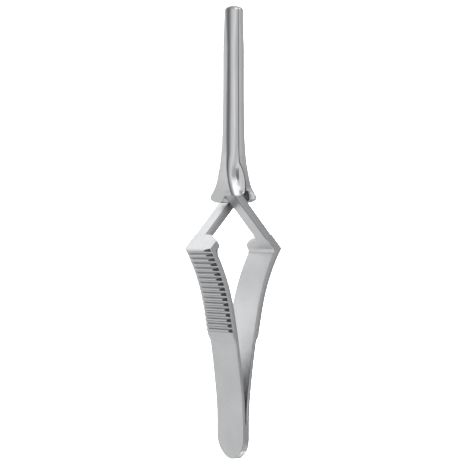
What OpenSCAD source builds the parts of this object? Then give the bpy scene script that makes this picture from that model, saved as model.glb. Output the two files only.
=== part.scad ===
// Self-closing cross-action spring clamp: two spring-steel halves brazed at the tail, whose arms
// cross so that squeezing the grip pads opens the jaws. It lies on the edges of its strips:
// X runs from tail to jaw tips, Y is the opening direction, Z is the width of the strip.

/* [Overall] */
// Length from the tail end to the jaw tips
clamp_l = 85; // [75:0.5:110]
// Width of the flat strip that both halves are formed from
strip_w = 8.5; // [6.5:0.1:11]

/* [Tail] */
// Length over which the two tail leaves are brazed together
tail_l = 6.5; // [5.6:0.1:10]
// Thickness of the braze film between the tail leaves
braze_t = 0.1; // [0.06:0.01:0.2]
// Rounding of the upper corner of the tail's end
tail_upper_r = 4; // [3:0.1:5]
// Rounding of the lower corner of the tail's end
tail_lower_r = 4.9; // [3:0.1:5.4]

/* [Spring leaf] */
// Thickness of each leaf
leaf_t = 0.66; // [0.45:0.01:0.85]
// Radius of the bend where a leaf leaves the tail
root_bend_r = 57; // [45:1:75]
// Angle of the bend where a leaf leaves the tail
root_bend_deg = 6; // [4.5:0.1:7.5]
// Radius of the long outward bow
bow_r = 187; // [150:1:230]
// Angle that the bow turns through along the spring leaf
leaf_bow_deg = 2.9; // [2.3:0.02:3.6]

/* [Grip pad] */
// Angle that the bow turns through along the lower part of the pad
pad_bow_deg = 1.9; // [1.5:0.02:2.4]
// Radius of the finger bend in the upper part of the pad
pad_bend_r = 36; // [30:0.5:44]
// Angle of the finger bend
pad_bend_deg = 18.68; // [15:0.02:22]
// Height of the pad's base above the leaf
pad_rise = 0.4; // [0.25:0.01:0.5]
// Height of the ridges above the pad's base
ridge_h = 0.42; // [0.3:0.01:0.5]
// Distance from ridge to ridge
ridge_pitch = 1; // [0.8:0.02:1.3]
// Flat left on top of each ridge
ridge_land = 0.04; // [0.02:0.01:0.2]
// Flat floor of the grooves between the ridges
groove_floor = 0.2; // [0.05:0.01:0.3]
// How far the ridges lean towards the knee
ridge_lean = 0.09; // [0:0.01:0.12]
// Width of the bevel on the upper ends of the ridges
upper_bevel_w = 1.1; // [0.4:0.05:1.3]
// Width of the bevel on the lower ends of the ridges
lower_bevel_w = 0.55; // [0.2:0.05:1.3]
// Length of the ramp from the pad's base down to the leaf
pad_ramp_l = 1.3; // [0.8:0.05:1.6]

/* [Cross arm] */
// Angle of the arm to the long axis
arm_deg = 42; // [38:0.1:46]
// Thickness of the arm
arm_t = 1.42; // [1.16:0.02:1.8]
// Clear gap between the two arms where they cross
arm_gap = 1; // [0.6:0.05:1.4]
// Set-back of the arm's side from the edge of the strip
arm_setback = 0.25; // [0.1:0.05:0.5]
// Distance from the inner corner of the knee to the end of the pad
knee_inset = 0.27; // [0.02:0.01:0.3]
// Length of the slope from the last groove up to the crest of the knee
knee_slope_l = 0.35; // [0.25:0.01:0.4]
// Rounding of the outer corner of the knee
knee_r = 0.2; // [0.05:0.01:0.25]
// Length of the full-width stub past the inner corner of the knee
knee_stub_l = 2.8; // [1.4:0.05:3.2]
// Rounding of the free corner of the knee stub
knee_stub_r = 1.15; // [0.5:0.05:1.4]

/* [Jaw] */
// Gap between the closed jaw faces
jaw_gap = 0.1; // [0.06:0.02:0.2]
// Half the thickness of the closed jaws, away from the heel
jaw_half_t = 1.84; // [1.5:0.02:2.1]
// Half the width of the jaws just past the flare
jaw_half_w = 1.72; // [1.3:0.02:2]
// Half the width of the jaws at the tip
tip_half_w = 1.46; // [1.1:0.02:1.6]
// Radius that rounds the closed jaws, away from the heel
jaw_round_r = 1.93; // [1.75:0.01:2.2]
// Radius that rounds the closed jaws at the tip
tip_round_r = 1.72; // [1.3:0.01:1.74]
// Length of the domed tip
dome_l = 0.9; // [0.6:0.05:2]
// Length over which the rounding narrows towards the dome
tip_taper_l = 7; // [3:0.5:12]
// Depth of the serrations in the jaw faces
tooth_h = 0.15; // [0.08:0.01:0.25]
// Distance from serration to serration
tooth_pitch = 0.8; // [0.6:0.05:1.2]
// Plain margin between the serrations and the sides of the tip
tooth_margin = 0.4; // [0.2:0.05:0.6]

/* [Jaw heel] */
// Half the thickness of the closed jaws at the heel
heel_half_t = 2.6; // [2.3:0.02:3]
// Set-back of the outer flat from the side of the heel
heel_corner = 0.36; // [0.1:0.02:0.9]
// Length over which the flare in thickness falls away
flare_t_l = 8.2; // [5:0.1:11]
// Length over which the flare in width falls away
flare_w_l = 2.65; // [1.8:0.05:3.4]
// Length over which the corner rounding sets in
flare_r_l = 4; // [3.2:0.1:5.5]
// Length of the heel stub along the slope of the arm
heel_stub_l = 1.6; // [1.55:0.05:1.8]
// Rounding of the free corner of the heel stub
heel_stub_r = 1.5; // [0.5:0.05:1.55]
// Height of the swell where the arm runs into the jaw, past the parting plane
swell_h = 0.8; // [0.65:0.01:1]
// Half the length of the swell
swell_half_l = 3.3; // [3:0.1:4.5]
// Distance from the heel to the top of the swell
swell_at = 2.9; // [2.6:0.1:3.2]
// Clearance between the swell and the relieved wall of the other jaw
swell_gap = 0.2; // [0.12:0.02:0.3]

/* [Hidden] */
$fn = 64;

spring_steel = "#b8babc";
satin_steel = "#c4c6c8";
jaw_steel = "#cfd0d2";
braze_silver = "#a9a8a2";

half_w = strip_w / 2;
spare = 1;         // how far a cutting shape runs past what it cuts
arc_step = 0.75;   // degrees between the points of a bend
knee_steps = 8;    // flats that round the knee's corner
ridge_foot = 0.02; // height below which the ends of the ridges stay upright
ridge_inset = 0.03; // distance from the ends of the ridges to the strip's edges

// A station on the outer face of a half is [x, y, heading in degrees], measured from the tail end
function turn(p, r, a) = [
    p[0] + r * (sin(p[2] + a) - sin(p[2])),
    p[1] + r * (cos(p[2]) - cos(p[2] + a)),
    p[2] + a];
function bend(p, r, a) = let (n = ceil(a / arc_step)) [for (i = [0:n]) turn(p, r, a * i / n)];
function bend_back(p, r, a) = [for (i = [0:knee_steps]) turn(p, -r, -a * i / knee_steps)];
function beside(path, d) = [for (p = path) [p[0] - d * sin(p[2]), p[1] + d * cos(p[2])]];
function reversed(v) = [for (i = [len(v) - 1:-1:0]) v[i]];
function arc_length(r, a) = r * a * PI / 180;
function arc_angle(r, l) = l / r * 180 / PI;

// Where the line through p along d meets the line through q along e
function meet(p, d, q, e) = p + d * cross(q - p, e) / cross(d, e);

tail_end = [tail_l, braze_t / 2 + leaf_t, 0];
root_end = turn(tail_end, root_bend_r, root_bend_deg);
leaf_end = turn(root_end, bow_r, leaf_bow_deg);
pad_mid = turn(leaf_end, bow_r, pad_bow_deg);
pad_end = turn(pad_mid, pad_bend_r, pad_bend_deg);
leaf_path = concat(bend(tail_end, root_bend_r, root_bend_deg), bend(root_end, bow_r, leaf_bow_deg));

pad_bow_l = arc_length(bow_r, pad_bow_deg);
pad_l = pad_bow_l + arc_length(pad_bend_r, pad_bend_deg);
ridge_n = floor((pad_l - pad_ramp_l) / ridge_pitch);
crest_h = pad_rise + ridge_h;

// The station at distance d along the pad, from the spring leaf
function pad_at(d) = d < pad_bow_l
    ? turn(leaf_end, bow_r, arc_angle(bow_r, d))
    : turn(pad_mid, pad_bend_r, arc_angle(pad_bend_r, d - pad_bow_l));

// Directions along and out of the pad's end and of the arm, which slopes to the other side
pad_dir = [cos(pad_end[2]), sin(pad_end[2])];
pad_out = [-sin(pad_end[2]), cos(pad_end[2])];
arm_dir = [cos(arm_deg), -sin(arm_deg)];
arm_out = [sin(arm_deg), cos(arm_deg)];

pad_root = [pad_end[0], pad_end[1]];
groove_root = pad_root + pad_rise * pad_out;
knee_start = pad_root - leaf_t * pad_out;
knee_inner = knee_start - knee_inset * pad_dir;
knee_corner = meet(groove_root, pad_dir, knee_inner + arm_t * arm_out, arm_dir);
knee_reach = norm(knee_corner - groove_root);
knee_foot = groove_root + groove_floor / 2 * pad_dir;
knee_crest = knee_foot + knee_slope_l * pad_dir + ridge_h * pad_out;
knee_top = meet(knee_crest, pad_dir, knee_corner, arm_dir);
knee_turn = pad_end[2] + arm_deg;
knee_cut = min(knee_r * tan(knee_turn / 2), 0.9 * norm(knee_top - knee_crest));
knee_round_r = knee_cut / tan(knee_turn / 2);

// The point on the arm's inner face at distance d from the knee's inner corner
function arm_at(d) = knee_inner + d * arm_dir;

// The heel is where the arm's inner face reaches the outer face of the jaw it carries
heel = meet(knee_inner, arm_dir, [0, -heel_half_t], [1, 0]);
heel_x = heel[0];
arm_top = meet(knee_corner, arm_dir, heel, [0, 1]);
toe = heel - heel_stub_l * arm_dir;
heel_half_w = half_w - arm_setback;
heel_round_r = norm([heel_half_t, heel_half_w - heel_corner]);

swell_r = (pow(swell_half_l, 2) + pow(swell_h, 2)) / (2 * swell_h);
swell_x = heel_x + swell_at;
swell_inset = swell_gap * 0.75;

// Half thickness, half width and rounding radius of the closed jaws at x
function fall(x, l) = exp(-(x - heel_x) / l);
function jaw_t_at(x) = jaw_half_t + (heel_half_t - jaw_half_t) * fall(x, flare_t_l);
function jaw_w_at(x) = jaw_half_w + (tip_half_w - jaw_half_w) * (x - heel_x) / (clamp_l - heel_x)
    + (heel_half_w - jaw_half_w) * fall(x, flare_w_l);
function tip_narrowing(d) = (jaw_round_r - tip_round_r) * max(0, 1 - (d - dome_l) / tip_taper_l);
function jaw_r_at(x) = jaw_round_r - tip_narrowing(clamp_l - x)
    + (heel_round_r - jaw_round_r) * fall(x, flare_r_l);

// Stations along a jaw, closer together near the heel
jaw_steps = 16;
jaw_end = clamp_l - dome_l;
jaw_xs = [for (i = [0:jaw_steps]) heel_x + (jaw_end - heel_x) * pow(i / jaw_steps, 2)];
dome_step = 15;
dome_pts = [for (a = [dome_step:dome_step:90]) [jaw_r_at(jaw_end) * cos(a), jaw_end + dome_l * sin(a)]];

// One half stands on the +Y side, centred on the width of the strip; the other is it turned over
module on_left() translate([-clamp_l / 2, 0, half_w]) children();
module on_right() on_left() rotate([180, 0, 0]) children();

// A plan shape across the full width of the strip, and a side outline through all thicknesses
module across(w = strip_w) linear_extrude(w, center = true) children();
module sideways() rotate([90, 0, 0]) linear_extrude(4 * (heel_half_t + arm_t), center = true) children();

module strip_plan(path, outer, inner)
    polygon(concat(beside(path, outer), reversed(beside(path, inner))));

// What is cut away to round a corner of the tail's end
module end_corner(r) translate([0, -half_w]) difference() {
    translate([-spare, -spare]) square(r + spare);
    translate([r, r]) circle(r = r);
}

// The outline of the tail: square to the leaf, its end rounded less on the upper side; up is +1
// where the half stands as modelled and -1 where it is turned over
module tail_outline(up) difference() {
    translate([0, -half_w]) square([tail_l, strip_w]);
    mirror([0, (1 + up) / 2]) end_corner(tail_upper_r);
    mirror([0, (1 - up) / 2]) end_corner(tail_lower_r);
}

module tail_slab(y, t, up)
    translate([0, y + t, 0]) rotate([90, 0, 0]) linear_extrude(t) tail_outline(up);

module tail_leaf(up) tail_slab(braze_t / 2, leaf_t, up);

module spring_leaf() across() strip_plan(leaf_path, 0, -leaf_t);

// The pad without its ridges, seen from the edge: leaf, ramp and base
module pad_plan() {
    finger = bend(pad_mid, pad_bend_r, pad_bend_deg);
    inner = concat(bend(leaf_end, bow_r, pad_bow_deg), finger);
    base = concat(bend(pad_at(pad_ramp_l), bow_r, pad_bow_deg - arc_angle(bow_r, pad_ramp_l)), finger);
    polygon(concat(beside([leaf_end], 0), beside(base, pad_rise), reversed(beside(inner, -leaf_t))));
}

module at_pad(d) {
    p = pad_at(d);
    translate([p[0], p[1]]) rotate(p[2]) children();
}

// A ridge seen from the edge, sunk halfway into the pad's base
module ridge_plan() {
    foot = (ridge_pitch - groove_floor) / 2;
    polygon([[-foot, pad_rise / 2], [-foot, pad_rise], [ridge_lean - ridge_land / 2, crest_h],
        [ridge_lean + ridge_land / 2, crest_h], [foot, pad_rise], [foot, pad_rise / 2]]);
}

// The wedges that bevel both ends of a ridge of length l down to the pad's base
module ridge_ends(l, up) {
    deep = 1 + spare;
    for (side = [-1, 1])
        mirror([0, 0, (1 - side) / 2]) rotate([90, 0, 90]) linear_extrude(l, center = true)
            translate([pad_rise + ridge_foot, half_w]) polygon([[0, 0],
                [ridge_h - ridge_foot, side * up > 0 ? -upper_bevel_w : -lower_bevel_w] * deep,
                [ridge_h * deep, spare], [0, spare]]);
}

module ridge(up) difference() {
    across(strip_w - 2 * ridge_inset) ridge_plan();
    ridge_ends(ridge_pitch, up);
}

module grip_pad(up) {
    across() pad_plan();
    for (i = [0:ridge_n - 1])
        at_pad(pad_l - (i + 0.5) * ridge_pitch) ridge(up);
}

// The rounded outer corner of the knee, from the ridge's crest to the arm's outer face
function knee_arc() = let (start = knee_top - knee_cut * pad_dir)
    beside(bend_back([start[0], start[1], pad_end[2]], knee_round_r, knee_turn), 0);

// The knee seen from the edge, with the end of its stub
module knee_plan() {
    stub_inner = arm_at(knee_stub_l);
    polygon(concat([knee_start, groove_root, knee_foot, knee_crest], knee_arc(),
        [stub_inner + arm_t * arm_out, stub_inner, knee_inner]));
}

// What is cut away to round the free corner of a stub of length l and half width w
module free_corner(l, w, r) rotate([90, 0, 0]) linear_extrude(4 * arm_t, center = true)
    translate([l - r, w - r]) difference() {
        square(r + spare);
        circle(r = r);
    }

// The arm runs on from the middle of the stub
module arm_plan() {
    start = arm_at(knee_stub_l / 2);
    polygon([start, heel, arm_top, start + arm_t * arm_out]);
}

module cross_arm(up) {
    difference() {
        across() knee_plan();
        at_pad(pad_l) translate([knee_reach / 2, 0, 0]) ridge_ends(knee_reach + spare, up);
        translate(knee_inner) rotate(-arm_deg) free_corner(knee_stub_l, half_w, knee_stub_r);
    }
    translate([0, 0, arm_setback - half_w])
        linear_extrude(half_w - arm_setback - arm_gap / 2) arm_plan();
}

module jaw_plan()
    polygon(concat([[heel_x, -jaw_gap / 2], [clamp_l, -jaw_gap / 2], [clamp_l, -jaw_t_at(clamp_l)]],
        reversed([for (x = jaw_xs) [x, -jaw_t_at(x)]])));

// The V grooves between the serrations, from the swell to the dome
module tooth_grooves() {
    start = swell_x + swell_half_l;
    for (d = [tooth_pitch:tooth_pitch:clamp_l - 2 * dome_l - start])
        translate([start + d, -jaw_gap / 2 - tooth_h])
            polygon([[0, 0], [1, 1] * (tooth_h + spare), [-1, 1] * (tooth_h + spare)]);
}

module jaw_outline() {
    edge = concat([[toe[0] - spare, heel_half_w]], [for (x = jaw_xs) [x, jaw_w_at(x)]],
        [[clamp_l, jaw_w_at(clamp_l)]]);
    polygon(concat(edge, reversed([for (p = edge) [p[0], -p[1]]])));
}

module jaw_rounding() rotate([0, 90, 0]) rotate_extrude()
    polygon(concat([[0, toe[0] - spare], [heel_round_r, toe[0] - spare]],
        [for (x = jaw_xs) [jaw_r_at(x), x]], [for (p = dome_pts) [max(p[0], 0), p[1]]]));

// The swell of the jaw's own arm past the parting plane, and room for the other arm's swell
module swell_plan() intersection() {
    translate([swell_x, swell_h - swell_r]) circle(r = swell_r, $fn = 128);
    translate([heel_x, -heel_half_t / 2]) square([2 * swell_half_l + swell_at, heel_half_t + swell_h]);
}

module relief_plan() {
    translate([swell_x, swell_r - swell_h]) circle(r = swell_r + swell_gap, $fn = 128);
    translate([heel_x - heel_stub_l - spare, toe[1]])
        square([heel_stub_l + spare + swell_at / 2, heel_half_t]);
}

module heel_stub() difference() {
    translate([0, 0, -arm_gap / 2]) linear_extrude(heel_half_w + arm_gap / 2)
        polygon([heel, toe, [heel_x + swell_at / 2, toe[1]], [heel_x + swell_at / 2, -jaw_t_at(swell_x)]]);
    translate(heel) rotate(180 - arm_deg) free_corner(heel_stub_l, heel_half_w, heel_stub_r);
}

module jaw() difference() {
    intersection() {
        union() {
            across() jaw_plan();
            translate([0, 0, -half_w]) linear_extrude(half_w - swell_inset) swell_plan();
            heel_stub();
        }
        sideways() jaw_outline();
        jaw_rounding();
    }
    translate([0, 0, swell_inset - swell_gap]) linear_extrude(strip_w) intersection() {
        relief_plan();
        translate([0, -heel_half_t]) square([clamp_l, 2 * heel_half_t]);
    }
    across(2 * (tip_half_w - tooth_margin)) tooth_grooves();
}

module left_tail_leaf() color(spring_steel) on_left() tail_leaf(1);
module right_tail_leaf() color(spring_steel) on_right() tail_leaf(-1);
module tail_braze() color(braze_silver) on_left() tail_slab(-braze_t / 2, braze_t, 1);
module left_spring_leaf() color(spring_steel) on_left() spring_leaf();
module right_spring_leaf() color(spring_steel) on_right() spring_leaf();
module left_grip_pad() color(satin_steel) on_left() grip_pad(1);
module right_grip_pad() color(satin_steel) on_right() grip_pad(-1);
module left_cross_arm() color(satin_steel) on_left() cross_arm(1);
module right_cross_arm() color(satin_steel) on_right() cross_arm(-1);
module left_jaw() color(jaw_steel) on_right() jaw();
module right_jaw() color(jaw_steel) on_left() jaw();

left_tail_leaf();
right_tail_leaf();
tail_braze();
left_spring_leaf();
right_spring_leaf();
left_grip_pad();
right_grip_pad();
left_cross_arm();
right_cross_arm();
left_jaw();
right_jaw();
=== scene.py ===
from math import cos, exp, pi, radians, sin, sqrt, tan

import bmesh
import bpy
from mathutils import Matrix, Vector


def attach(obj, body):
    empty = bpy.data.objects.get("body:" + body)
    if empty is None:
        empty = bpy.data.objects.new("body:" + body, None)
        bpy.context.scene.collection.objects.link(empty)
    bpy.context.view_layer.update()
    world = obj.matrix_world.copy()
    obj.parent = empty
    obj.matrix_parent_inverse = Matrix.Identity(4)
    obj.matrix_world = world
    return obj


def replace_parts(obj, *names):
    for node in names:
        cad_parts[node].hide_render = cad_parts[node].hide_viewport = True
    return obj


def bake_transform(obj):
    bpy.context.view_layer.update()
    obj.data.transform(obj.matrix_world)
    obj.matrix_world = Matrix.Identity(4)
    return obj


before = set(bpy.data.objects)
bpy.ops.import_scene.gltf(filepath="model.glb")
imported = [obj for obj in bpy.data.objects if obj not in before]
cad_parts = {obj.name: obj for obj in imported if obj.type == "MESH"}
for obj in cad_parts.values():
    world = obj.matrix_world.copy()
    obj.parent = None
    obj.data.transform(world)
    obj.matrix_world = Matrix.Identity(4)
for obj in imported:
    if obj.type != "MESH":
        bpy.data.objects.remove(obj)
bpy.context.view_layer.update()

# A cross-action spring clamp: two bowed strips of spring steel, joined at the tail, whose arms cross and
# carry the jaws. One half is drawn in millimetres, x from the tail's end, y away from the other half and
# z across the strip from its middle. The other half is the same one turned over.

LENGTH, WIDTH = 85.0, 8.5
HALF = WIDTH / 2
TINY = 1e-3                                 # points this close count as one

# Tail, spring leaf and grip pad
TAIL, BRAZE, LEAF = 6.5, 0.1, 0.66          # length of the tail, thickness of the braze and of the strip
BRAZE_RUN = 0.15                            # how far the braze runs on into the slit
NEAR_ROUND, FAR_ROUND = 4.0, 4.9            # radii that the tail's end is ground to
ROOT_R, BOW_R, PAD_R = 57.0, 187.0, 36.0    # radii of the strip's bends, from the tail to the knee
ROOT_TURN, LEAF_TURN, PAD_BOW_TURN, PAD_TURN = (radians(a) for a in (6, 2.9, 1.9, 18.68))
RAMP, RISE = 1.3, 0.4                       # ramp up to the pad, and how much thicker the pad is
RAMP_SHAPE = (0.3, 0.1), (0.55, 0.33), (0.8, 0.7), (1, 1)   # shares of both: a soft hollow, a crisp edge
PITCH, RIDGE, LAND = 1.0, 0.42, 0.26        # the ridges' spacing, height and flat top
FLOOR, LEAN = 0.26, 0.04                    # flat floor of the grooves, and the ridges' lean to the knee
NEAR_BEVEL, FAR_BEVEL = (0.9, 1.9), (0.35, 0.8)   # slopes at the ridges' ends, on the first and the last
LIP, BURR = 0.2, 0.12                       # the strip's plain margin, and its fall on the inner face
EDGE, EDGE_TURN = 0.05, 1.0                 # rounding of deburred edges, and the radians they turn at least

# Knee and cross arm
ARM_TILT, ARM_T = radians(42), 1.42
ARM_GAP, SETBACK = 1.0, 0.25                # gap between the crossing arms, setback of the heel's side
KNEE_INSET, KNEE_SLOPE, KNEE_R, HOLLOW_R = 0.27, 0.35, 0.2, 0.8
STUB_L, STUB_DROP, TOE_R = 2.8, 1.6, 0.45   # the knee's stub, the setback of its free corner, its toe
ARM_START, ARM_R = 0.4, 0.36                # share of the stub that the arm starts at, and its rounding
ARM_SPREAD = 0.25                           # how much thicker the arm grows towards the heel
SINK = 0.012                                # how much thinner the arm is than the stub it comes out of

# Jaw: half thickness, half width and rounding, and the lengths over which the heel's flare dies away. The
# rounding is given as how far the section reaches at 35 degrees from its outer face.
GAP, JAW_T, JAW_W, TIP_W = 0.1, 1.84, 1.72, 1.46
JAW_ROUND, TIP_ROUND, TIP_TAPER, DOME = 1.97, 1.74, 7.0, 0.9
HEEL_T, HEEL_W = 2.6, HALF - SETBACK
HEEL_ROUND = sqrt(HEEL_T ** 2 + (HEEL_W - ARM_R) ** 2)
FLARE_T, FLARE_W, FLARE_ROUND = 8.2, 2.65, 4.0
ROUND_COS, ROUND_SIN = 0.819, 0.574
LEAST_ROUND, LEAST_OWN_ROUND, LEAST_FLAT = 0.3, 0.6, 0.03
TOOTH, TOOTH_PITCH, TOOTH_END = 0.15, 0.8, 0.1   # depth, spacing and sloping end of the cross teeth
OWN_RIM, OTHER_RIM, LENS_RIM = 0.35, 0.5, 0.1    # plain margins of the teeth, the last one beside the lens
FACE_STEP, FACE_LEAST = 1.0, 0.2                 # a corner more on the inner face, to keep it even

# The swell at the jaw's root that covers the gap: height, half length, place and gap to the other one
SWELL, SWELL_HALF, SWELL_AT, SWELL_GAP = 0.8, 3.3, 2.9, 0.14
SWELL_WALL = 0.75                           # share of its gap that its side stands off the middle
UNDER_L, UNDER_FROM, UNDER_H = 0.75, 0.55, 1.05   # its sloping underside: length, start and height

# The root on the side of the other arm: a plain wall at the heel, then a slope that grows, stays and fades
HEEL_WALL, SLOPE_GROW, SLOPE_STAY, SLOPE_FADE = 0.9, 1.8, 4.0, 4.0
SLOPE_IN, SLOPE_OUT = 0.15, 0.3             # how far it stands out beside the gap and back outside
TRIM, TRIM_L, CHAMFER, CHAMFER_L = 0.15, 2.0, 0.25, 3.0   # narrowing and broken edge towards the heel

# The root on the side of its own arm: the flare's extra reach, then the crease, a hollow and a flat lens
REACH_L, REACH_OUT, REACH_IN = 8.0, 0.3, 0.05
HEEL_FALL, HEEL_FALL_L = 0.35, 1.2
LENS_W, LENS_TAPER, LENS_L, LENS_LEAST = 3.2, 0.21, 6.0, 0.12
HOLLOW, HOLLOW_AT, HOLLOW_L, HOLLOW_SHARE = 0.25, 2.0, 4.2, 0.65
CREASE, CREASE_BULGE, CREASE_MOST, CREASE_W = 0.3, 0.5, 0.8, 0.3
BACK_MID = -0.4                             # corner on the outer face's middle

# The heel's stub, a block beside its own arm: toe, length, radius of its free corner, length left there
HEEL_STUB, HEEL_STUB_L, HEEL_STUB_R, HEEL_DROP = 2.2, 1.3, 3.4, 0.3
HEEL_CUTS = (-1.0, -0.6, -0.2, 0.2, 0.6, 1.2, 1.8, 2.4, 2.9, 3.3, 3.6, 3.8, 3.93)
WEDGE, WEDGE_SHARE, WEDGE_RUN = 0.03, 0.7, 1.6   # the wedge in which it runs out on the arm

# Where the jaw's sections stand: at the root from the heel, and round the dome of the tip in degrees
ROOT_STATIONS = (0, 0.2, 0.45, 0.7, 0.86, 0.95, 1.2, 1.6, 2.0, 2.4, 2.75, 3.1, 3.45, 3.8, 4.2, 4.6, 5.0,
                 5.5, 6.05, 6.4)
DOME_TURNS = (15, 30, 45, 58, 70, 80)


def onward(p, r, a):
    """The station (x, y, heading) after a bend of radius r through the angle a from station p."""
    x, y, h = p
    return x + r * (sin(h + a) - sin(h)), y + r * (cos(h) - cos(h + a)), h + a


def bend(p, r, a, n):
    """The n stations along a bend after station p."""
    return [onward(p, r, a * i / n) for i in range(1, n + 1)]


TAIL_END = (TAIL, BRAZE / 2 + LEAF, 0.0)
ROOT_END = onward(TAIL_END, ROOT_R, ROOT_TURN)
LEAF_END = onward(ROOT_END, BOW_R, LEAF_TURN)
PAD_MID = onward(LEAF_END, BOW_R, PAD_BOW_TURN)
PAD_END = onward(PAD_MID, PAD_R, PAD_TURN)
PAD_BOW = BOW_R * PAD_BOW_TURN
PAD = PAD_BOW + PAD_R * PAD_TURN
RIDGES = int((PAD - RAMP) / PITCH)
FIRST_RIDGE = PAD - RIDGES * PITCH


def pad_at(d):
    """The station at distance d along the pad's face."""
    if d < PAD_BOW:
        return onward(LEAF_END, BOW_R, d / BOW_R)
    return onward(PAD_MID, PAD_R, (d - PAD_BOW) / PAD_R)


def meet(p, d, q, e):
    """Where the line through p along d meets the line through q along e, seen from the edge of the strip."""
    return p + d * ((q - p).cross(e) / d.cross(e))


PAD_DIR = Vector((cos(PAD_END[2]), sin(PAD_END[2])))
PAD_OUT = Vector((-PAD_DIR.y, PAD_DIR.x))
ARM_DIR = Vector((cos(ARM_TILT), -sin(ARM_TILT)))
ARM_OUT = Vector((sin(ARM_TILT), cos(ARM_TILT)))
KNEE_TURN = PAD_END[2] + ARM_TILT
PAD_FACE = Vector(PAD_END[:2])
GROOVE = PAD_FACE + RISE * PAD_OUT
KNEE_START = PAD_FACE - LEAF * PAD_OUT
KNEE_IN = KNEE_START - KNEE_INSET * PAD_DIR
KNEE_OUT = meet(GROOVE, PAD_DIR, KNEE_IN + ARM_T * ARM_OUT, ARM_DIR)
KNEE_FOOT = GROOVE + FLOOR / 2 * PAD_DIR
KNEE_CREST = KNEE_FOOT + KNEE_SLOPE * PAD_DIR + RIDGE * PAD_OUT
KNEE_TOP = meet(KNEE_CREST, PAD_DIR, KNEE_OUT, ARM_DIR)
KNEE_CUT = KNEE_R * tan(KNEE_TURN / 2)
HEEL = meet(KNEE_IN, ARM_DIR, Vector((0, -HEEL_T)), Vector((1, 0)))
TOE = HEEL - HEEL_STUB * ARM_DIR
JAW = LENGTH - HEEL.x
FIRST_TOOTH = SWELL_AT + SWELL_HALF + TOOTH_PITCH
TEETH = [FIRST_TOOTH + i * TOOTH_PITCH for i in range(int((JAW - 2 * DOME - FIRST_TOOTH) / TOOTH_PITCH))]


def linear(hex_colour):
    """An sRGB hex colour as linear RGBA."""
    parts = [int(hex_colour[i:i + 2], 16) / 255 for i in (1, 3, 5)]
    return [c / 12.92 if c <= 0.04045 else ((c + 0.055) / 1.055) ** 2.4 for c in parts] + [1.0]


def add(tree, kind, inputs, **settings):
    """Adds a node with its settings, sets or links its inputs, and returns its outputs."""
    node = tree.nodes.new("ShaderNode" + kind)
    for key, value in settings.items():
        setattr(node, key, value)
    for key, value in inputs.items():
        if isinstance(value, bpy.types.NodeSocket):
            tree.links.new(value, node.inputs[key])
        else:
            node.inputs[key].default_value = value
    return node.outputs


CLOUD = 6.0                                 # handling leaves soft cloudy patches a few millimetres across
FINE_SHARE, CLOUD_SHARE = 0.6, 0.4          # parts of the grain and of the patches in the steel's tone


def steel(name, dark, light, roughness, spread, grain, bump):
    """Stainless steel with a grain of the given sizes in millimetres along x, y and z."""
    mat = bpy.data.materials.new(name)
    mat.use_nodes = True
    tree = mat.node_tree
    shader = tree.nodes["Principled BSDF"]
    shader.inputs["Metallic"].default_value = 1.0
    place = add(tree, "TexCoord", {})["Object"]
    laid = add(tree, "Mapping", {"Vector": place, "Scale": [1000 / g for g in grain]})["Vector"]
    fine = add(tree, "TexNoise", {"Vector": laid, "Scale": 1.0, "Detail": 3.0, "Roughness": 0.6})["Fac"]
    cloud = add(tree, "TexNoise", {"Vector": place, "Scale": 1000 / CLOUD, "Detail": 2.0})["Fac"]
    both = add(tree, "Math", {0: fine, 1: FINE_SHARE}, operation="MULTIPLY")["Value"]
    both = add(tree, "Math", {0: cloud, 1: CLOUD_SHARE, 2: both}, operation="MULTIPLY_ADD")["Value"]
    tone = add(tree, "MapRange", {"Value": both, "From Min": 0.3, "From Max": 0.7})["Result"]
    colour = add(tree, "Mix", {"Factor": tone, "A": linear(dark), "B": linear(light)}, data_type="RGBA")
    tree.links.new(next(o for o in colour if o.type == "RGBA"), shader.inputs["Base Color"])
    rough = add(tree, "MapRange", {"Value": tone, "To Min": roughness + spread, "To Max": roughness - spread})
    tree.links.new(rough["Result"], shader.inputs["Roughness"])
    relief = add(tree, "Bump", {"Height": fine, "Strength": 1.0, "Distance": bump / 1000})
    tree.links.new(relief["Normal"], shader.inputs["Normal"])
    return mat


# Spring steel strip, bead-blasted: an even soft grey sheen with no direction. The blast dimples are about
# 0.03 mm, too fine to show, and are drawn as 0.25 mm.
blasted = steel("bead_blasted_spring_steel", "#b8b9ba", "#c2c3c4", 0.40, 0.03, (0.25, 0.25, 0.25), 0.002)
# The strip's inner face, rolled and less blasted: a little smoother, and its tone is painted lighter, a
# painted light that lifts the shade between the leaves.
rolled_painted_light = steel("rolled_spring_steel_painted_light", "#cecfd0", "#d9dadb", 0.38, 0.03, (1.2, 0.25, 0.25), 0.0015)
# Sheared and deburred edges: darker, with fine marks across the thickness.
sheared = steel("deburred_strip_edge", "#929395", "#a0a1a3", 0.40, 0.04, (0.3, 0.9, 0.3), 0.002)
# The milled slopes at the ends of the ridges, left smooth: they mirror the dark side of the room, and their
# tone is also painted darker as painted shade.
slopes_painted_dark = steel("milled_ridge_ends_painted_shade", "#96979a", "#a4a5a8", 0.24, 0.03, (0.3, 0.3, 0.9), 0.001)
# Milled cross arm, finely ground: bright flat faces with marks along the arm.
milled = steel("ground_steel_arm", "#bcbdbe", "#c8c9ca", 0.36, 0.03, (0.8, 0.8, 0.25), 0.0012)
# Jaws ground lengthwise and satin-polished: streaks along the jaw, drawn 0.22 mm wide to show.
polished = steel("satin_polished_jaw_steel", "#b0b1b2", "#bcbdbe", 0.36, 0.03, (9.0, 0.22, 0.22), 0.001)
# Silver braze, ground flush with the steel and only a trace warmer.
braze = steel("flush_ground_silver_braze", "#999894", "#a7a6a2", 0.40, 0.04, (0.3, 0.9, 0.3), 0.002)


def faces_of(geom):
    return [g for g in geom if isinstance(g, bmesh.types.BMFace)]


def verts_of(geom):
    return [g for g in geom if isinstance(g, bmesh.types.BMVert)]


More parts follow.
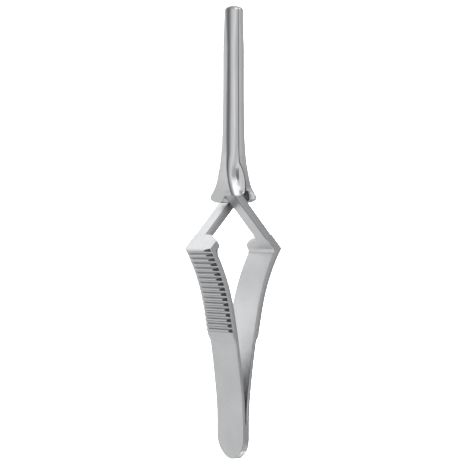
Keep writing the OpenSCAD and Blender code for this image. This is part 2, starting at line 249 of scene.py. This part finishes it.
def with_edges(faces):
    """The faces with their edges and corners, once each."""
    edges = dict.fromkeys(e for f in faces for e in f.edges)
    corners = dict.fromkeys(v for f in faces for v in f.verts)
    return [*faces, *edges, *corners]


def seat(p):
    """The matrix that carries a section at the origin to the station p."""
    return Matrix.Translation((p[0], p[1], 0)) @ Matrix.Rotation(p[2], 4, "Z")


def draw_on(bm, cap, before, after):
    """Extrudes the end faces from one station to the next and returns the new end's faces and corners."""
    new = bmesh.ops.extrude_face_region(bm, geom=with_edges(cap))["geom"]
    bmesh.ops.transform(bm, matrix=seat(after) @ seat(before).inverted(), verts=verts_of(new))
    return faces_of(new), verts_of(new)


def round_edges(bm, edges, offset, segments):
    bmesh.ops.bevel(bm, geom=edges, offset=offset, offset_type="OFFSET", segments=segments, profile=0.5,
                    affect="EDGES", material=-1, clamp_overlap=True)


def split(bm, faces, place, normal):
    """Cuts the faces at a plane and returns all that stand where they stood."""
    cut = bmesh.ops.bisect_plane(bm, geom=with_edges(faces), dist=1e-5, plane_co=place, plane_no=normal)
    return faces_of(cut["geom"])


def split_across(bm, faces, heights):
    """Cuts the faces at each of the heights and returns all that stand where they stood."""
    for z in heights:
        faces = split(bm, faces, (0, 0, z), (0, 0, 1))
    return faces


def tail_blank(bm, y, thick, length, up):
    """A flat strip whose end is ground round, more on the far side, and the end face it goes on from."""
    turns = [radians(t) for t in range(0, 85, 7)]
    near = [(NEAR_ROUND * (1 - sin(t)), HALF - NEAR_ROUND * (1 - cos(t))) for t in turns]
    far = [(FAR_ROUND * (1 - sin(t)), FAR_ROUND * (1 - cos(t)) - HALF) for t in turns]
    outline = [(length, HALF), *near, *reversed(far), (length, -HALF)]
    flat = bm.faces.new([bm.verts.new((x, y, z * up)) for x, z in outline])
    new = bmesh.ops.extrude_face_region(bm, geom=with_edges([flat]))["geom"]
    bmesh.ops.translate(bm, vec=(0, thick, 0), verts=verts_of(new))
    return [f for f in bm.faces if all(abs(v.co.x - length) < TINY for v in f.verts)]


def raise_ridge(face, mid, along, out, up, tops, share):
    """Shapes a face raised off the pad into a ridge whose top runs between tops along the pad. It slopes at
    both ends, the more the larger its share of the way to the knee."""
    for v in face.verts:
        ahead = (v.co.xy - mid).dot(along) > 0
        first, last = NEAR_BEVEL if v.co.z * up > 0 else FAR_BEVEL
        v.co.xy = mid + along * tops[ahead] + out * RIDGE
        v.co.z = (HALF - first - (last - first) * share) * (1 if v.co.z > 0 else -1)


def handle(up):
    """Tail leaf, spring leaf and ridged grip pad, one formed strip."""
    bm = bmesh.new()
    cap = split_across(bm, tail_blank(bm, BRAZE / 2, LEAF, TAIL, up), (LIP - HALF, HALF - LIP))
    way = [(p, 0.0) for p in bend(TAIL_END, ROOT_R, ROOT_TURN, 8) + bend(ROOT_END, BOW_R, LEAF_TURN, 8)]
    way += [(pad_at(RAMP * t), RISE * h) for t, h in RAMP_SHAPE]
    # two stations for each ridge, at its feet
    feet = [FIRST_RIDGE + i * PITCH + d for i in range(RIDGES) for d in (FLOOR / 2, PITCH - FLOOR / 2)]
    way += [(pad_at(d), RISE) for d in feet + [PAD]]
    before, low, rows = TAIL_END, 0.0, []
    for p, rise in way:
        cap, verts = draw_on(bm, cap, before, p)
        away = Vector((-sin(p[2]), cos(p[2]), 0))
        outer = [v for v in verts if (v.co.xy - Vector(p[:2])).dot(away.xy) > -LEAF / 2]
        bmesh.ops.translate(bm, vec=away * (rise - low), verts=outer)
        if before == TAIL_END:
            # the strip's inner face falls off to its edges, where it was deburred
            bmesh.ops.translate(bm, vec=away * BURR, verts=[
                v for v in verts if v not in outer and abs(v.co.z) > HALF - LIP / 2])
        rows.append(sorted((v for v in outer if abs(v.co.z) < HALF - LIP / 2), key=lambda v: v.co.z))
        before, low = p, rise

    # the long edges and the tail's end are deburred, but not where the braze and the knee join on
    end = [v for f in cap for v in f.verts]

    def is_open(e):
        at_side = all(abs(v.co.z) > HALF - TINY for v in e.verts)
        at_tail = all(v.co.x < TAIL - 0.1 for v in e.verts)
        brazed = all(v.co.x < TAIL + TINY and v.co.y < BRAZE / 2 + 0.01 for v in e.verts)
        return (at_side or at_tail) and not brazed and not all(v in end for v in e.verts)

    edges = [e for e in bm.edges if e.is_manifold and e.calc_face_angle() > EDGE_TURN and is_open(e)]
    round_edges(bm, edges, EDGE, 3)

    rows = rows[-2 * RIDGES - 1:-1]
    tops = bmesh.ops.extrude_discrete_faces(
        bm, faces=[bm.faces.get((a[0], a[1], b[1], b[0])) for a, b in zip(rows[::2], rows[1::2])])["faces"]
    # the operator returns its faces in no fixed order
    for i, face in enumerate(sorted(tops, key=lambda f: f.calc_center_median().x)):
        h = pad_at(FIRST_RIDGE + (i + 0.5) * PITCH)[2]
        along, out = Vector((cos(h), sin(h))), Vector((-sin(h), cos(h)))
        raise_ridge(face, face.calc_center_median().xy, along, out, up, (LEAN - LAND / 2, LEAN + LAND / 2),
                    i / RIDGES)
    return bm


def cross_arm(up):
    """The knee, a ridge wide as the pad, and the narrow arm that slopes across to the other side."""
    bm = bmesh.new()
    stub = KNEE_IN + STUB_L * ARM_DIR
    # the hollow of the knee is rounded, and runs out on the inner face of the pad
    run = HOLLOW_R * tan(KNEE_TURN / 2)
    hollow = [KNEE_IN - run * PAD_DIR + HOLLOW_R * (PAD_DIR * sin(t) - PAD_OUT * (1 - cos(t)))
              for t in (KNEE_TURN * i / 6 for i in range(7))]
    outline = [KNEE_START, GROOVE, KNEE_FOOT, KNEE_OUT, stub + ARM_T * ARM_OUT, stub, *reversed(hollow)]
    base = bm.faces.new([bm.verts.new((*p, -HALF)) for p in outline])
    new = bmesh.ops.extrude_face_region(bm, geom=with_edges([base]))["geom"]
    bmesh.ops.translate(bm, vec=(0, 0, WIDTH), verts=verts_of(new))
    bm.normal_update()

    def along(v):
        return (v.co.xy - KNEE_IN).dot(ARM_DIR)

    def above(v):
        return (v.co.xy - KNEE_IN).dot(ARM_OUT)

    # the free corner of the stub is drawn back in a long round, and then its toe is rounded
    end = [f for f in bm.faces if all(along(v) > STUB_L - TINY for v in f.verts)]
    end = split_across(bm, end, [HALF * i / 8 for i in range(8)])
    end = list(dict.fromkeys(v for f in end for v in f.verts))
    for v in end:
        v.co.xy -= ARM_DIR * STUB_DROP * max(0, v.co.z / HALF) ** 2
    toe = [e for e in bm.edges if all(v in end and abs(above(v)) < TINY for v in e.verts)]
    round_edges(bm, toe, TOE_R, 4)

    # the knee's ridge, its outer corner rounded
    top = [f for f in bm.faces if all(abs((v.co.xy - KNEE_FOOT).dot(PAD_OUT)) < TINY
                                      and (v.co.xy - KNEE_FOOT).dot(PAD_DIR) > -TINY for v in f.verts)]
    top = split_across(bm, top, (LIP - HALF, HALF - LIP))
    top = [f for f in top if abs(f.calc_center_median().z) < 1]
    ridge = bmesh.ops.extrude_discrete_faces(bm, faces=top)["faces"][0]
    mid = ridge.calc_center_median().xy
    raise_ridge(ridge, mid, PAD_DIR, PAD_OUT, up, [(p - mid).dot(PAD_DIR) for p in (KNEE_CREST, KNEE_TOP)], 1)
    crest = [e for e in ridge.edges if all((v.co.xy - KNEE_TOP).length < TINY for v in e.verts)]
    round_edges(bm, crest, KNEE_CUT, 4)
    bm.normal_update()
    sides = [e for e in bm.edges if e.is_manifold and e.calc_face_angle() > EDGE_TURN and e.is_convex
             and not all(abs((v.co.xy - PAD_FACE).dot(PAD_DIR)) < TINY for v in e.verts)
             and not all(above(v) > ARM_T + TINY or (v.co.xy - hollow[0]).length < TINY for v in e.verts)]
    round_edges(bm, sides, EDGE, 2)

    # the arm, a bar with rounded edges that comes out of the stub
    start = KNEE_IN + ARM_START * STUB_L * ARM_DIR
    low, high, far, near = SINK, ARM_T - SINK, SINK - HALF, -ARM_GAP / 2
    bar = bm.faces.new([bm.verts.new((*(start + o * ARM_OUT), z))
                        for o, z in ((low, far), (low, near), (high, near), (high, far))])
    bmesh.ops.bevel(bm, geom=bar.verts[:], offset=ARM_R, offset_type="OFFSET", segments=5, profile=0.5,
                    affect="VERTICES", material=-1)
    bar = [f for f in bm.faces
           if all(abs(along(v) - ARM_START * STUB_L) < TINY and v.co.z < near + TINY for v in f.verts)]
    new = bmesh.ops.extrude_face_region(bm, geom=bar)["geom"]
    for v in verts_of(new):
        v.co.xy += ARM_DIR * (HEEL.x - v.co.x) / ARM_DIR.x
        if above(v) > ARM_T / 2:
            v.co.y += ARM_SPREAD
        if v.co.z < -HALF / 2:
            v.co.z += SETBACK - SINK
    return bm


def fade(u, length):
    """Falls evenly from 1 at u = 0 to 0 at the length, and stays there."""
    return max(0, 1 - u / length)


def corner(half_t, half_w, reach, least):
    """The radius of a corner that is rounded until the section has only the given reach."""
    radius = (ROUND_COS * half_t + ROUND_SIN * half_w - reach) / (ROUND_COS + ROUND_SIN - 1)
    return min(max(least, radius), half_w - LEAST_FLAT)


def jaw_section(u):
    """The jaw's section at u from the heel: points (x, distance from the parting plane, z) once round, from
    the side where the other half's arm passes, over the outer face and back along the side of its own arm."""
    a = JAW_T + (HEEL_T - JAW_T) * exp(-u / FLARE_T)
    b = JAW_W + (TIP_W - JAW_W) * u / JAW + (HEEL_W - JAW_W) * exp(-u / FLARE_W)
    r = (JAW_ROUND - (JAW_ROUND - TIP_ROUND) * fade(JAW - u - DOME, TIP_TAPER)
         + (HEEL_ROUND - JAW_ROUND) * exp(-u / FLARE_ROUND))
    swell = SWELL * (1 - ((u - SWELL_AT) / SWELL_HALF) ** 2)
    own = min(GAP / 2, -swell)
    other = max(GAP / 2, swell + SWELL_GAP) if u > HEEL_WALL else -TOE.y

    # on the side of the other arm the root slopes off outwards
    slope = min(1, u / SLOPE_GROW) * fade(max(0, u - SLOPE_STAY), SLOPE_FADE)
    b_in, b_out = b + SLOPE_IN * slope - TRIM * fade(u, TRIM_L), b - SLOPE_OUT * slope
    c = corner(a, b_out, r, LEAST_ROUND)
    d = corner(a, b, r, LEAST_OWN_ROUND)

    # the flare on the root's own side reaches further out; beside it lies a flat, a shallow lens that starts
    # below the flare at the heel and ends proud of it, beyond a soft hollow
    reach = sin(pi * min(u, REACH_L) / REACH_L)
    a_own = a + REACH_OUT * reach
    b_own = b - HEEL_FALL * exp(-u / HEEL_FALL_L) - REACH_IN * reach
    lens = LENS_W - LENS_TAPER * u - b if u < LENS_L else 0
    in_hollow = min(max(0, u - HOLLOW_AT), HOLLOW_L)
    hollow = HOLLOW * sin(pi * in_hollow / HOLLOW_L) ** 2
    crease = min(CREASE + CREASE_BULGE * sin(pi * min(u, LENS_L) / LENS_L), CREASE_MOST * (a_own - d))
    inner = max(crease - CREASE_W, own + LENS_LEAST)

    # edges are broken, more on the one that faces the lens, and the teeth stop short of both sides
    e_in = EDGE + CHAMFER * fade(u, CHAMFER_L)
    tooth = TOOTH if any(abs(u - t) < TINY for t in TEETH) else 0
    rim = max(OWN_RIM, LENS_RIM - lens) - b
    wall = SWELL_WALL * SWELL_GAP

    arc = [radians(t) for t in range(0, 91, 15)]
    points = [(other + e_in, b_in), ((other + e_in + a - c) / 2, (b_in + b_out) / 2)]
    points += [(a - c + c * sin(t), b_out - c + c * cos(t)) for t in arc]
    points += [(a, max(BACK_MID, (d - b) / 2))]
    points += [(a_own - d + d * cos(t), d - b_own - d * sin(t)) for t in arc]
    points += [((a_own - d + crease) / 2, HOLLOW_SHARE * hollow - b_own), (crease, hollow - b_own)]
    points += [(o, -b - lens) for o in (inner, (inner + own) / 2, own + EDGE)]
    points += [(own, -b - lens + EDGE), (own, rim), (own + tooth, rim + TOOTH_END), (own + tooth, -wall)]
    points += [(other + tooth, z) for z in (
        SWELL_GAP - wall - TOOTH_END, max(b - FACE_STEP, FACE_LEAST), b - OTHER_RIM - TOOTH_END)]
    points += [(other, z) for z in (b - OTHER_RIM, b_in - e_in - TOOTH_END, b_in - e_in)]

    # the swell's underside rises from the arm's face towards the parting plane
    def underside(o):
        return UNDER_L * min(1, max(0, (UNDER_FROM - o) / UNDER_H))

    return [(max(u, underside(o)) if z < -TOOTH_END else u, o, z) for o, z in points]


def jaw():
    """The jaw that the half's arm carries, on the other side of the parting plane."""
    stations = [*ROOT_STATIONS, *(t + d for t in TEETH for d in (-TOOTH, 0, TOOTH)), JAW - DOME]
    rings = [jaw_section(u) for u in stations]
    last = rings[-1]
    for t in (radians(d) for d in DOME_TURNS):
        rings.append([(JAW - DOME + DOME * sin(t), GAP / 2 + (o - GAP / 2) * cos(t), z * cos(t))
                      for _, o, z in last])
    bm = bmesh.new()
    order = [bm.verts.new((HEEL.x + x, -o, z)) for x, o, z in rings[0]]
    heel = bm.faces.new(order)
    cap = [heel]
    for ring in rings[1:]:
        new = bmesh.ops.extrude_face_region(bm, geom=with_edges(cap))["geom"]
        cap = faces_of(new)
        # the new face's corners follow the old one's, so each goes to its own place on the next ring
        ahead = {}
        for v in verts_of(new):
            old = next(w for w in (e.other_vert(v) for e in v.link_edges) if w in order)
            ahead[old] = v
        order = [ahead[v] for v in order]
        for v, (x, o, z) in zip(order, ring):
            v.co = (HEEL.x + x, -o, z)

    # the heel's stub, a block that runs out on its own arm, with its free corner drawn back in a long round
    stub = split(bm, split_across(bm, [heel], HEEL_CUTS), (0, TOE.y, 0), (0, 1, 0))
    mids = [(f, f.calc_center_median()) for f in stub]
    stub = [f for f, mid in mids if mid.z > HEEL_CUTS[0] and mid.y < TOE.y]
    new = bmesh.ops.extrude_face_region(bm, geom=with_edges(stub))["geom"]
    for v in verts_of(new):
        free = min(1, max(0, v.co.z - (HEEL_W - HEEL_STUB_R)) / HEEL_STUB_R)
        block = HEEL_DROP + (HEEL_STUB_L - HEEL_DROP) * sqrt(1 - free ** 2)
        wedge = WEDGE + WEDGE_SHARE * (HEEL_T + v.co.y) / tan(ARM_TILT)
        clear = min(1, (v.co.z - HEEL_CUTS[0]) / WEDGE_RUN)
        v.co.x -= wedge + (block - wedge) * clear ** 2 * (3 - 2 * clear)
    bmesh.ops.triangulate(bm, faces=faces_of(new))
    return bm


def tail_film():
    """The braze between the tail leaves, flush all round, that runs on a little into the slit."""
    bm = bmesh.new()
    tail_blank(bm, -BRAZE / 2, BRAZE, TAIL + BRAZE_RUN, 1)
    return bm


SHARP = radians(36)                         # edges that bend more stay sharp


def finish(name, bm, turned, materials, pick):
    """Puts the half in its place and makes it an object; pick gives the number of a face's material."""
    bmesh.ops.recalc_face_normals(bm, faces=bm.faces[:])
    for f in bm.faces:
        f.smooth = True
        f.material_index = pick(f)
    for e in bm.edges:
        e.smooth = not e.is_manifold or (
            e.calc_face_angle() < SHARP and len({f.material_index for f in e.link_faces}) == 1)
    place = Matrix.Translation((-LENGTH / 2000, 0, HALF / 1000)) @ Matrix.Scale(0.001, 4)
    if turned:
        place = place @ Matrix.Rotation(pi, 4, "X")
    bm.transform(place)
    mesh = bpy.data.meshes.new(name)
    bm.to_mesh(mesh)
    bm.free()
    for m in materials:
        mesh.materials.append(m)
    piece = bpy.data.objects.new(name, mesh)
    bpy.context.scene.collection.objects.link(piece)
    piece.modifiers.new("flat_faces", "WEIGHTED_NORMAL").keep_sharp = True
    return piece


EDGEWISE, SLOPING = 0.8, 0.2                # normals across the strip of its edges, and of slopes at least
SLOPE_RISE, SLOPE_AREA = 0.3, 0.1           # a slope's normal outwards and its area, at least


def is_edge(f):
    return abs(f.normal.z) > EDGEWISE


def is_slope(f):
    """Whether the face is the slope at the end of a ridge."""
    return (SLOPING < abs(f.normal.z) < EDGEWISE and f.normal.y > SLOPE_RISE and f.calc_area() > SLOPE_AREA
            and f.calc_center_median().x > TAIL)


def strip_side(f):
    """0 for the outer face of the strip, 1 for the inner face, 2 for its edges and 3 for the ridges' ends."""
    return 3 if is_slope(f) else 2 if is_edge(f) else 0 if f.normal.y > 0 else 1


def arm_side(f):
    """0 for the faces of the knee and arm, 1 for their edges and 2 for the ends of the knee's ridge."""
    return 2 if is_slope(f) and f.calc_center_median().x < KNEE_OUT.x else 1 if is_edge(f) else 0


for side, turned, up in (("left", False, 1), ("right", True, -1)):
    body, facing_jaw = side + "_half", "right" if side == "left" else "left"

    piece = finish(side + "_handle", handle(up), turned, [blasted, rolled_painted_light, sheared, slopes_painted_dark], strip_side)
    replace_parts(piece, side + "_tail_leaf", side + "_spring_leaf", side + "_grip_pad")
    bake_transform(piece)

    piece = finish(side + "_arm", cross_arm(up), turned, [milled, sheared, slopes_painted_dark], arm_side)
    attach(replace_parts(piece, side + "_cross_arm"), body)

    piece = finish(facing_jaw + "_jaw_bar", jaw(), turned, [polished], lambda f: 0)
    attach(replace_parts(piece, facing_jaw + "_jaw"), body)

piece = finish("tail_seam", tail_film(), False, [braze], lambda f: 0)
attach(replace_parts(piece, "tail_braze"), "tail")

# From here on lengths are in metres. The pale floor lies a hair below the clamp.
FLOOR_HALF, FLOOR_DROP = 1.5, 0.00002
bm = bmesh.new()
bmesh.ops.create_grid(bm, x_segments=1, y_segments=1, size=FLOOR_HALF)
bmesh.ops.translate(bm, vec=(0, 0, -FLOOR_DROP), verts=bm.verts[:])
mesh = bpy.data.meshes.new("floor")
bm.to_mesh(mesh)
bm.free()
floor = bpy.data.objects.new("floor", mesh)
bpy.context.scene.collection.objects.link(floor)
# Opal acrylic lit from below: an even white that takes no shadow
opal = bpy.data.materials.new("lit_opal_acrylic")
opal.use_nodes = True
for socket, value in (("Base Color", linear("#f6f6f6")), ("Roughness", 0.9),
                      ("Emission Color", linear("#ffffff")), ("Emission Strength", 0.95)):
    opal.node_tree.nodes["Principled BSDF"].inputs[socket].default_value = value
mesh.materials.append(opal)
floor.visible_glossy = False   # the steel mirrors the studio drawn below instead

# A soft square light panel that hangs overhead and faces down
PANEL_SIDE, PANEL_WATTS, PANEL_HEIGHT = 0.9, 26.0, 0.8
panel = bpy.data.lights.new("fill_panel", "AREA")
panel.shape, panel.size, panel.energy = "SQUARE", PANEL_SIDE, PANEL_WATTS
fill = bpy.data.objects.new("fill_panel", panel)
fill.location = (0, 0, PANEL_HEIGHT)
bpy.context.scene.collection.objects.link(fill)
fill.visible_glossy = False

# The studio that the steel mirrors: a soft grey with brighter and darker parts, each a direction, the
# cosines between which it comes in, and its strength
GREY, DARKEST = 0.74, 0.13
STUDIO = (
    ((0, 0.17, 0.985), 0.62, 0.95, 0.45),       # panel overhead
    ((0, -0.26, 0.966), 0.88, 0.99, 0.35),
    ((0.68, -0.48, 0.55), 0.945, 0.987, 3.0),   # lamp beyond the tips
    ((0.8, -0.57, -0.2), 0.93, 0.99, 0.7),      # and its stand
    ((0.12, 0.35, -0.93), 0.7, 0.97, 0.62),     # bright table top below
    ((0.6, -0.05, -0.8), 0.9, 0.98, 0.7),
    ((0.33, -0.47, -0.82), 0.94, 0.985, 1.6),
    ((-0.57, 0.06, -0.82), 0.9, 0.98, 0.35),
    ((-0.75, -0.57, 0.33), 0.85, 0.97, 0.75),   # pale wall beyond the tail
    ((0.46, 0.4, -0.79), 0.93, 0.98, -0.55),    # dark sides of the room, from the tips round to the tail
    ((-0.4, -0.42, -0.82), 0.86, 0.96, -0.28),
    ((0, -0.2, -0.98), 0.93, 0.985, -0.6),
    ((0, 0.985, -0.17), 0.62, 0.97, -0.46),
    ((-0.55, 0.79, -0.25), 0.8, 0.94, -0.55),
    ((-0.9, 0.43, 0.05), 0.85, 0.97, -0.45),
    ((0.9, 0.4, -0.15), 0.9, 0.98, -0.35),
    ((0.6, 0.8, -0.05), 0.9, 0.98, -0.35),
    ((0.6, -0.79, 0.1), 0.88, 0.97, -0.35),
    ((-0.2, -0.57, 0.797), 0.955, 0.985, -0.5))
world = bpy.data.worlds.new("studio")
bpy.context.scene.world = world
world.use_nodes = True
tree = world.node_tree
way = add(tree, "TexCoord", {})["Generated"]
glow = GREY
for toward, start, full, strength in STUDIO:
    aligned = add(tree, "VectorMath", {0: way, 1: toward}, operation="DOT_PRODUCT")["Value"]
    part = add(tree, "MapRange", {"Value": aligned, "From Min": start, "From Max": full, "To Max": strength},
               interpolation_type="SMOOTHSTEP")["Result"]
    glow = add(tree, "Math", {0: part, 1: glow}, operation="ADD")["Value"]
glow = add(tree, "Math", {0: glow, 1: DARKEST}, operation="MAXIMUM")["Value"]
tree.links.new(glow, tree.nodes["Background"].inputs["Color"])

# The camera stands 55 degrees above the floor on the left half's side, with the tips at the top of the
# picture. The picture's middle lies a little off the middle of the clamp.
FOCAL, SENSOR = 150, 36                     # both in millimetres
PICTURE = 0.0872                            # how wide the picture is at the clamp
MIDDLE_RIGHT, MIDDLE_UP, ROLL = -0.000175, -0.000074, radians(0.1)
optics = bpy.data.cameras.new("camera")
optics.lens, optics.sensor_width = FOCAL, SENSOR
camera = bpy.data.objects.new("camera", optics)
bpy.context.scene.collection.objects.link(camera)
right, upward, back = Vector((0, -0.8192, 0.5736)), Vector((1, 0, 0)), Vector((0, 0.5736, 0.8192))
aim = Vector((0, 0, HALF / 1000)) + right * MIDDLE_RIGHT + upward * MIDDLE_UP
turn = Matrix((right, upward, back)).transposed().to_4x4() @ Matrix.Rotation(ROLL, 4, "Z")
camera.matrix_world = Matrix.Translation(aim + back * (PICTURE * FOCAL / SENSOR)) @ turn
bpy.context.scene.camera = camera
bpy.context.scene.view_settings.view_transform = "Standard"
